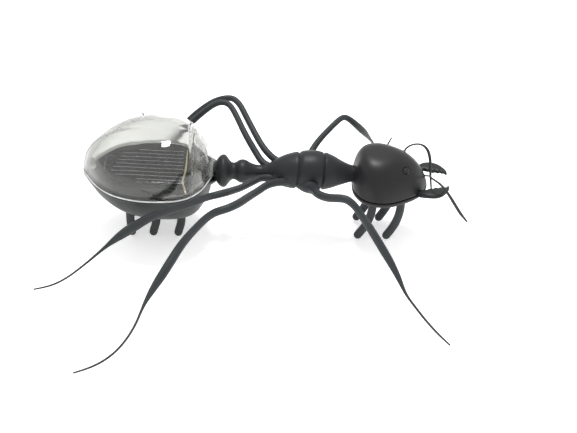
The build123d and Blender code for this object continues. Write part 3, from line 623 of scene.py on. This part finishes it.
pan_m = match(pan, rim)
plate = offset(rim, 1.5)
rings = [ring_at(plate, RIM_Z, 0.05, -34.3), ring_at(plate, RIM_Z, 0.6, -34.3), ring_at(plate, RIM_Z, 0.99, -34.3),
         ring_at(plate, RIM_Z + 0.08), ring_at(plate, RIM_Z + 0.5), ring_at(offset(plate, 0.08), RIM_Z + 0.6)]
for k in (0.25, 0.5, 0.75):
    rings.append(ring_at(plate * (1 - k) + offset(pan_m, -0.35) * k, RIM_Z + 0.6))
for d, dz in ((-0.2, 0.62), (-0.05, 0.72), (0.0, 0.85), (0.03, 1.05), (0.10, 1.17), (0.25, 1.2)):
    rings.append(ring_at(offset(pan_m, d), RIM_Z + dz))
rings.append(ring_at(offset(pan_m, 0.5), RIM_Z + 1.2))
rings.append(ring_at(pan_m, RIM_Z + 1.2, 0.5, -36.0))
rings.append(ring_at(pan_m, RIM_Z + 1.2, 0.05, -36.0))
V, F = loft(rings)
make("panel_tray_moulding", V, F, TRAY, "abdomen", replaces=["panel_tray"], sharp=50)


def slab(name, curve, z0, z1, r, m, node, cx=-36.0):
    rings = [ring_at(curve, z0, 0.05, cx), ring_at(curve, z0, 0.6, cx), ring_at(offset(curve, r), z0), ring_at(curve, z0 + r)]
    for a in (0, 30, 60, 90):
        c, s = math.cos(math.radians(a)), math.sin(math.radians(a))
        rings.append(ring_at(offset(curve, r - r * c), z1 - r + r * s))
    rings += [ring_at(offset(curve, r * 2), z1), ring_at(curve, z1, 0.55, cx), ring_at(curve, z1, 0.05, cx)]
    V, F = loft(rings)
    return make(name, V, F, m, "abdomen", replaces=[node], sharp=50)


slab("panel_board_laminate", offset(pan_m, 0.35), 18.6, 19.2, 0.1, BOARD, "solar_panel_board")
slab("solar_cell_plate", offset(pan_m, 0.9), 19.2, 19.45, 0.06, CELL, "solar_cell")

# printed fingers on the cell
parts = []
for i in range(9):
    y = -6.4 + 1.6 * i
    xs = [x for x, w in PANEL]
    w = np.interp(np.linspace(-49, -25.2, 300), xs, [b for _, b in PANEL])
    X = np.linspace(-49, -25.2, 300)
    ok = X[w - 1.25 > abs(y)]
    x0, x1 = max(ok.min() + 0.6, -45.9 + (y + 6.4) * 0.3), -27.0
    n = 40
    X = np.linspace(x0, x1, n)
    Y = y * 0.97 - (X + 36.0) * 0.048 + 0.04 * np.sin(X * 0.5 + i)
    hw, hh = 0.068, 0.03
    rings = []
    for x, yy in zip(X, Y):
        rings.append(np.array([(x, yy - hw, 19.44), (x, yy + hw, 19.44), (x, yy + hw * 0.6, 19.45 + hh), (x, yy - hw * 0.6, 19.45 + hh)]))
    parts.append(loft(rings))
V, F = join(*parts)
make("cell_printed_fingers", V, F, LINE, "abdomen", smooth=False)
X = np.linspace(-38.5, -26.9, 40)
V, F = loft([np.array([(x, t - 0.13, 19.15), (x, t + 0.13, 19.15), (x, t + 0.11, 19.27), (x, t, 19.30), (x, t - 0.11, 19.27)])
             for x, t in zip(X, -7.12 - (X + 32.5) * 0.04)])
make("panel_edge_strip", V, F, SOLDER, "abdomen", sharp=40)


def ribbon(points, half, thick, n=80):
    C = spline(points, n)
    T = np.gradient(C, axis=0)
    T /= np.linalg.norm(T, axis=1)[:, None]
    rings = []
    for c, t in zip(C, T):
        side = np.cross(t, [0, 0, 1.0])
        if np.linalg.norm(side) < 0.3:
            side = np.array([1.0, 0, 0])
        side /= np.linalg.norm(side)
        up = np.cross(side, t)
        up = up if up[2] > 0 or abs(up[2]) < 1e-3 else up
        sec = []
        for a in np.linspace(0, 2 * math.pi, 12, endpoint=False):
            ca, sa = math.cos(a), math.sin(a)
            sec.append(c + side * half * np.sign(ca) * abs(ca) ** 0.5 + up * thick * np.sign(sa) * abs(sa) ** 0.5)
        rings.append(np.array(sec))
    return loft(rings)


V, F = ribbon([(-25.9, 6.4, 19.5), (-26.0, 4.4, 19.62), (-26.1, 2.0, 19.55), (-26.2, -0.6, 19.68), (-26.4, -3.0, 19.56),
               (-26.7, -5.2, 19.66), (-26.9, -6.9, 19.55), (-26.75, -7.9, 19.3), (-26.5, -8.5, 18.7), (-26.3, -9.3, 18.2),
               (-26.0, -10.3, 18.09)], 0.23, 0.06, 140)
make("front_ribbon_bent", V, F, RIBBON, "abdomen", replaces=["busbar_ribbon_front"])
V, F = ribbon([(-46.3, -3.3, 19.5), (-46.5, -1.5, 19.53), (-46.55, 0.0, 19.52), (-46.5, 1.5, 19.53), (-46.3, 3.3, 19.5)], 0.2, 0.04, 50)
make("rear_ribbon_flat", V, F, REARTAB, "abdomen", replaces=["busbar_ribbon_rear"])
V, F = blob((-26.85, -7.2, 19.6), 0.42, sz=0.45, sx=1.1)
make("ribbon_solder_blob", V, F, SOLDER, "abdomen")

# lip of the clear collar round the waist ball
rings = []
for t in np.linspace(0.05, math.pi - 0.05, 60):
    rad = np.array([0.0, -math.cos(t), math.sin(t)])
    c0 = np.array([-20.25, 0, AXIS_Z + 0.06]) + rad * 2.35
    rings.append(np.array([c0 + rad * 0.28 * math.cos(q) + np.array([0.5 * math.sin(q), 0, 0]) for q in np.linspace(0, 2 * math.pi, 16, endpoint=False)]))
V, F = loft(rings)
make("dome_collar_lip", V, F, LIP, "abdomen")

# low lip inside the dome's front edge
edge = offset(rim, 1.22)
order = np.argsort(np.arctan2(edge[:, 1], edge[:, 0] - CENTRE_X))
arc = edge[order]
for sg, nm in ((-1, "near"), (1, "far")):
    P = arc[(arc[:, 0] > -31.5) & (sg * arc[:, 1] > 2.9)]
    P = P[np.argsort(P[:, 0])]
    P = spline(np.c_[P[::6], np.zeros(len(P[::6]))], 90)
    T = np.gradient(P, axis=0)
    T /= np.linalg.norm(T, axis=1)[:, None]
    side = np.c_[-T[:, 1], T[:, 0], np.zeros(len(T))]
    rings = []
    for k, (c, d) in enumerate(zip(P, side)):
        u = k / 89.0
        h = 0.15 + 1.35 * smoothstep(0.25, 0.95, np.array([u]))[0] * (0.72 + 0.28 * math.cos(u * 19.0)) + 0.75 * math.exp(-((u - 0.16) / 0.09) ** 2)
        rings.append(np.array([c + d * 0.16 * math.cos(q) + np.array([0, 0, RIM_Z + 0.62 + h * 0.5 * (1 + math.sin(q))]) for q in np.linspace(0, 2 * math.pi, 16, endpoint=False)]))
    V, F = loft(rings)
    make("dome_inner_lip_" + nm, V, F, LIP, "abdomen")

# small clear locating pin at the rear
a8 = np.linspace(0, 2 * math.pi, 32, endpoint=False)
prof = [(0.62, 0.7), (0.9, 0.75), (0.92, 1.0), (0.92, 2.9), (0.86, 3.05), (0.7, 3.1), (0.55, 3.05), (0.5, 2.9), (0.48, 1.6), (0.3, 1.5)]
rings = [np.c_[-49.85 + np.cos(a8) * r, np.sin(a8) * r, np.full(32, RIM_Z + h)] for r, h in prof]
V, F = loft(rings)
make("dome_locating_pin", V, F, DOME, "abdomen")

# ------------------------------------------------------------------ feet
def foot(name, st, body):
    V, F = tube(st, n=32, step=0.22)
    make(name, V, F, SOFT, body, replaces=[name]).name = name + "_rubber"


for pos, fx in (("rear", -40.6), ("middle", -33.9), ("front", -27.5)):
    for side, sg in (("right", -1), ("left", 1)):
        y = sg * 4.0
        lean = 0.35 if pos == "rear" else -0.95
        top = 11.9 if pos == "rear" else 10.4
        st = [(fx, y, top, FOOT_R), (fx, y, 8.6, FOOT_R), (fx, y, 7.0, FOOT_R), (fx + 0.05 * lean, y, 5.2, FOOT_R), (fx + 0.25 * lean, y, 3.6, FOOT_R),
              (fx + 0.62 * lean, y, 2.2, FOOT_R), (fx + 0.92 * lean, y, 1.0, FOOT_R)]
        foot("abdomen_foot_%s_%s" % (pos, side), st, "abdomen")
for pos, (xb, xt) in (("front", (28.35, 25.3)), ("rear", (21.2, 17.9))):
    for side, y in (("right", -4.0), ("left", 3.6)):
        dx = xt - xb
        if (pos, side) == ("front", "left"):
            xb -= 1.5
        st = [(xb, y, 14.4, FOOT_R), (xb, y, 11.4, FOOT_R), (xb + 0.02 * dx, y, 9.6, FOOT_R), (xb + 0.1 * dx, y, 7.8, FOOT_R),
              (xb + 0.24 * dx, y, 6.0, FOOT_R), (xb + 0.44 * dx, y, 4.3, FOOT_R), (xb + 0.68 * dx, y, 2.8, FOOT_R),
              (xb + 0.9 * dx, y, 1.6, FOOT_R), (xb + 0.98 * dx, y, 1.15, FOOT_R)]
        foot("head_foot_%s_%s" % (pos, side), st, "head")

# ------------------------------------------------------------------ waist and thorax
WAIST = [(-22.6, 1.2), (-21.6, 1.75), (-20.6, 1.85), (-19.8, 1.75), (-19.2, 2.05), (-18.6, 2.85), (-18.0, 3.65), (-17.3, 4.1), (-16.6, 4.12),
         (-15.9, 3.5), (-15.2, 2.6), (-14.5, 2.15), (-13.8, 2.3), (-13.0, 2.8), (-12.2, 3.0), (-11.3, 2.85),
         (-10.4, 2.35), (-9.4, 1.9), (-8.3, 1.66), (-7.2, 1.6), (-6.0, 1.4)]
THORAX = [(-8.0, 1.0), (-7.3, 1.5), (-6.0, 1.9), (-4.4, 2.7), (-2.6, 3.65), (-0.8, 4.3), (0.6, 4.62), (1.3, 4.66), (1.62, 4.50), (1.80, 4.38),
          (2.0, 4.52), (2.4, 4.80), (3.4, 5.02), (4.8, 5.12), (6.3, 5.05), (7.4, 4.86), (7.85, 4.66), (8.05, 4.44), (8.32, 4.66),
          (8.9, 4.66), (10.2, 4.25), (12.2, 3.4), (14.0, 2.65), (15.4, 2.2), (16.6, 2.0), (17.8, 1.8)]


def thorax_z(x):
    return float(np.interp(x, [-8, -5.2, -1.5, 1.7, 5.0, 8.0, 12.0, 15.7, 18], [17.9, 18.0, 18.4, 18.6, 18.6, 18.45, 18.05, 17.8, 17.8]))


zx = np.linspace(-8, 18, 60)
zy = np.array([thorax_z(x) for x in zx])
ker = np.ones(9) / 9
zy = np.convolve(np.pad(zy, 4, mode="edge"), ker, "valid")
V, F = lathe(WAIST, 72)
make("waist_soft", V, F, BODY, "thorax_body", replaces=["waist_connector"])
V, F = lathe(THORAX, 120, zc=lambda x: float(np.interp(x, zx, zy)), step=0.07)
V = np.array(V)
# the grooves slope forward towards the top, as on a jointed shell
V[:, 0] += (V[:, 2] - 18.0) * 0.10 * smoothstep(-6, 0, V[:, 0]) * (1 - smoothstep(10, 15, V[:, 0]))
make("thorax_soft", V, F, BODY, "thorax_body", replaces=["thorax"])

# ------------------------------------------------------------------ legs
for name, st in LEGS.items():
    S = [list(s) for s in st]
    # the root swells where it leaves the underside of the thorax
    S[0][3] = S[0][3] * 1.12
    if name == "front_right":
        S = [[2.4, -1.4, 17.4, 2.4], [3.9, -3.4, 16.95, 2.25], [5.5, -5.9, 17.35, 1.58]] + S[2:]
        for k_ in (3, 4, 5, 6):
            S[k_][3] *= 1.08

    def flat(k):
        w = smoothstep(0.45, 0.62, np.array([k]))[0] * (1 - smoothstep(0.70, 0.8, np.array([k]))[0])
        return 1 + 0.06 * w, 1 - 0.22 * w

    V, F = tube(S, n=30, step=0.3)
    ob = make("leg_%s_soft" % name, V, F, SOFT, None)
    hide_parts("leg_%s" % name)
    c = np.array(S[0][:3])
    d = np.array(S[1][:3]) - c
    d /= np.linalg.norm(d)
    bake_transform(ob)

# ------------------------------------------------------------------ head
hd = outline(HEAD, 420)
rings = []
rings.append(ring_at(hd, HEAD_Z + 0.42, 0.1, HEAD_CX))
rings.append(ring_at(hd, HEAD_Z + 0.42, 0.7, HEAD_CX))
rings.append(ring_at(offset(hd, 0.75), HEAD_Z + 0.42))
rings.append(ring_at(offset(hd, 0.42), HEAD_Z + 0.44))
rings.append(ring_at(offset(hd, 0.20), HEAD_Z + 0.52))
rings.append(ring_at(offset(hd, 0.07), HEAD_Z + 0.66))
th_ = np.arctan2(hd[:, 1] / 9.3, (hd[:, 0] - 24.6) / 9.4)
crown = np.c_[24.6 + 9.4 * np.cos(th_), 9.3 * np.sin(th_)]
uh = np.sin(np.linspace(0.012, 1, 130) * math.pi / 2)
for u in uh[:-1]:
    if HEAD_Z + 0.1 + (HEAD_H - 0.1) * u < HEAD_Z + 0.82:
        continue
    s_ = float(level(u, HEAD_P, HEAD_Q))
    w_ = float(smoothstep(0.05, 0.75, np.array([s_]))[0])
    c_ = hd * w_ + crown * (1 - w_)
    rings.append(np.c_[HEAD_CX + (c_[:, 0] - HEAD_CX) * s_ + HEAD_SHIFT * (1 - s_ * s_), c_[:, 1] * s_,
                       np.full(len(c_), HEAD_Z + 0.1 + (HEAD_H - 0.1) * u)])
V, F = loft(rings)
V = np.array(V)
# eyes: a small oval ring groove, deeper on one side, round a slightly raised centre
for sg in (-1, 1):
    e = np.array([28.25, sg * 3.6, 21.15])
    n = np.array([0.50, sg * 0.42, 0.76])
    n /= np.linalg.norm(n)
    tx = np.cross([0, 0, 1.0], n)
    tx /= np.linalg.norm(tx)
    ty = np.cross(n, tx)
    col = np.hypot((V - e) @ tx, (V - e) @ ty)
    col[(V - e) @ n < -3] = 9
    e = e + n * ((V[col.argmin()] - e) @ n)
    near = np.linalg.norm(V - e, axis=1) < 3.2
    near &= ((V - e) @ n) > -1.2
    Q = V[near] - e
    a, b = Q @ tx / 1.15, Q @ ty / 0.85
    r = np.hypot(a, b)
    groove = np.exp(-((r - 0.95) / 0.17) ** 2) * (0.35 + 0.65 * smoothstep(-1.0, 0.2, -a * 1.0 + 0.4 * b))
    dome_in = np.exp(-(r / 0.55) ** 4)
    V[near] += n * (-0.42 * groove + 0.14 * dome_in)[:, None]
make("head_upper_moulding", V, F, HEADM, "head", replaces=["head_upper_shell"])

rings = []
rings.append(ring_at(hd, HEAD_Z + 0.30, 0.1, HEAD_CX))
rings.append(ring_at(hd, HEAD_Z + 0.30, 0.7, HEAD_CX))
rings.append(ring_at(offset(hd, 0.55), HEAD_Z + 0.30))
rings.append(ring_at(offset(hd, 0.22), HEAD_Z + 0.29))
rings.append(ring_at(offset(hd, 0.07), HEAD_Z + 0.24))
rings.append(ring_at(offset(hd, -0.02), HEAD_Z + 0.12))
rings.append(ring_at(offset(hd, -0.04), HEAD_Z - 0.05))
for u in np.sin(np.linspace(0.06, 1, 30) * math.pi / 2)[:-1]:
    rings.append(ring_at(offset(hd, -0.02), HEAD_Z - 0.1 - 2.5 * u, level(u, 2.2, 2.6), HEAD_CX))
V, F = loft(rings)
make("head_lower_moulding", V, F, HEADM, "head", replaces=["head_lower_shell"])

# mandibles
MAND_OUT = [(29.6, 2.6), (31.3, 4.7), (33.2, 6.6), (35.2, 7.4), (36.9, 7.35), (38.4, 6.5), (39.5, 5.2), (40.25, 3.7), (40.3, 2.75)]
MAND_IN = [(39.75, 2.85), (39.3, 3.35), (38.9, 3.1), (38.4, 3.55), (37.9, 3.2), (37.3, 3.7), (36.7, 3.35), (36.1, 3.9),
           (35.4, 3.85), (34.4, 4.4), (33.2, 4.0), (31.8, 2.6), (30.6, 1.2)]
for side, sg in (("right", -1), ("left", 1)):
    out = spline([(x, y, 0) for x, y in MAND_OUT], 60)[:, :2]
    inn = np.array(MAND_IN)
    # resample the inner edge so that the outer and inner edges pair up
    s = np.r_[0, np.cumsum(np.linalg.norm(np.diff(inn, axis=0), axis=1))]
    t = np.linspace(0, s[-1], 60)
    inn = np.c_[np.interp(t, s, inn[:, 0]), np.interp(t, s, inn[:, 1])][::-1]
    zm, hz = 16.15, 0.68
    rings = []
    for i in range(60):
        o, n_ = out[i], inn[i]
        thin = (1 - 0.45 * smoothstep(40, 59, np.array([i]))[0]) * (0.72 + 0.28 * smoothstep(2, 16, np.array([i]))[0])
        zc = zm - 1.75 * (1 - smoothstep(0, 30, np.array([i]))[0])
        sec = []
        for k in range(24):
            a = 2 * math.pi * k / 24
            ca, sa = math.cos(a), math.sin(a)
            f = 0.5 + 0.5 * np.sign(ca) * abs(ca) ** 0.7
            p = n_ * (1 - f) + o * f
            sec.append((p[0], sg * p[1], zc + hz * thin * np.sign(sa) * abs(sa) ** 0.75))
        rings.append(np.array(sec))
    V, F = loft(rings)
    make("mandible_%s_toothed" % side, V, F, BODY, "head", replaces=["mandible_%s" % side])

# antennae
for side, st in ANTENNAE.items():
    shown = [(33.0, 1.6, 16.8, 0.2), (34.5, -0.5, 17.9, 0.2), (35.1, -2.7, 19.4, 0.2)] + list(st[3:]) if side == "right" else st
    V, F = tube(shown, n=20, step=0.16)
    ob = make("antenna_%s_soft" % side, V, F, SOFT, None)
    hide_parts("antenna_%s" % side)
    c = np.array(st[0][:3])
    d = np.array([q[:3] for q in st]).mean(0) - c
    d /= np.linalg.norm(d)
    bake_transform(ob)

# ------------------------------------------------------------------ carried-over inner parts
KEEP = {"motor_can": STEEL, "motor_shaft": STEEL, "eccentric_weight": STEEL, "motor_end_cap": NYLON, "motor_clip": NYLON,
        "tray_screw_right": STEEL, "tray_screw_left": STEEL, "head_screw": STEEL, "lead_wire_positive": REDW,
        "lead_wire_negative": BLKW, "solder_joints": SOLDER}
for node, m in KEEP.items():
    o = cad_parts[node]
    o.data.materials.clear()
    o.data.materials.append(m)

# ------------------------------------------------------------------ floor, light, camera
me = bpy.data.meshes.new("floor")
S = 1.6
me.from_pydata([(-S, -S, -0.0003), (S, -S, -0.0003), (S, S, -0.0003), (-S, S, -0.0003)], [], [(0, 1, 2, 3)])
floor = bpy.data.objects.new("floor", me)
bpy.context.scene.collection.objects.link(floor)
fm, nt, b = mat("floor_white")
n1 = noise(nt, 12, 3, 0.5)
c = ramp(nt, n1.outputs["Fac"], [(0.3, (0.90, 0.90, 0.90, 1)), (0.7, (0.92, 0.92, 0.92, 1))])
nt.links.new(c.outputs["Color"], b.inputs["Base Color"])
b.inputs["Roughness"].default_value = 0.9
b.inputs["Specular IOR Level"].default_value = 0.1
b.inputs["Emission Color"].default_value = (1.0, 1.0, 1.0, 1)
b.inputs["Emission Strength"].default_value = 0.42
me.materials.append(fm)

world = bpy.data.worlds.new("studio")
bpy.context.scene.world = world
world.use_nodes = True
bg = world.node_tree.nodes["Background"]
bg.inputs["Color"].default_value = (1.0, 1.0, 1.0, 1)
bg.inputs["Strength"].default_value = 0.95


def area(name, at, target, size, power, size_y=None, shape="RECTANGLE"):
    L = bpy.data.lights.new(name, "AREA")
    L.shape = shape
    L.size = size
    L.size_y = size_y or size
    L.energy = power
    o = bpy.data.objects.new(name, L)
    bpy.context.scene.collection.objects.link(o)
    o.location = at
    o.rotation_mode = "QUATERNION"
    o.rotation_quaternion = (Vector(target) - Vector(at)).to_track_quat("-Z", "Y")
    return o


KEY = area("key_softbox", (-0.020, 0.150, 0.612), (-0.01, 0.0, 0.02), 0.074, 2.5, size_y=0.17)

EL, AZ, ROLL, DIST, F_PX = 38.0, -2.0, 2.3, 0.36364, 1400.0
e, a, r = (math.radians(v) for v in (EL, AZ, ROLL))
Rv = Vector((math.cos(a), math.sin(a), 0))
Fh = Vector((-math.sin(a), math.cos(a), 0))
Fw = Fh * math.cos(e) + Vector((0, 0, -math.sin(e)))
Uv = Fh * math.sin(e) + Vector((0, 0, math.cos(e)))
R2 = Rv * math.cos(r) + Uv * math.sin(r)
U2 = -Rv * math.sin(r) + Uv * math.cos(r)
cam_data = bpy.data.cameras.new("camera")
cam = bpy.data.objects.new("camera", cam_data)
bpy.context.scene.collection.objects.link(cam)
cam_data.sensor_width = 36
cam_data.lens = 36 * F_PX / 577
cam_data.clip_start, cam_data.clip_end = 0.01, 50
loc = pt(0, 0, 3.55) - Fw * DIST
cam.matrix_world = Matrix(((R2.x, U2.x, -Fw.x, loc.x), (R2.y, U2.y, -Fw.y, loc.y), (R2.z, U2.z, -Fw.z, loc.z), (0, 0, 0, 1)))
bpy.context.scene.camera = cam
bpy.context.scene.view_settings.view_transform = "Standard"
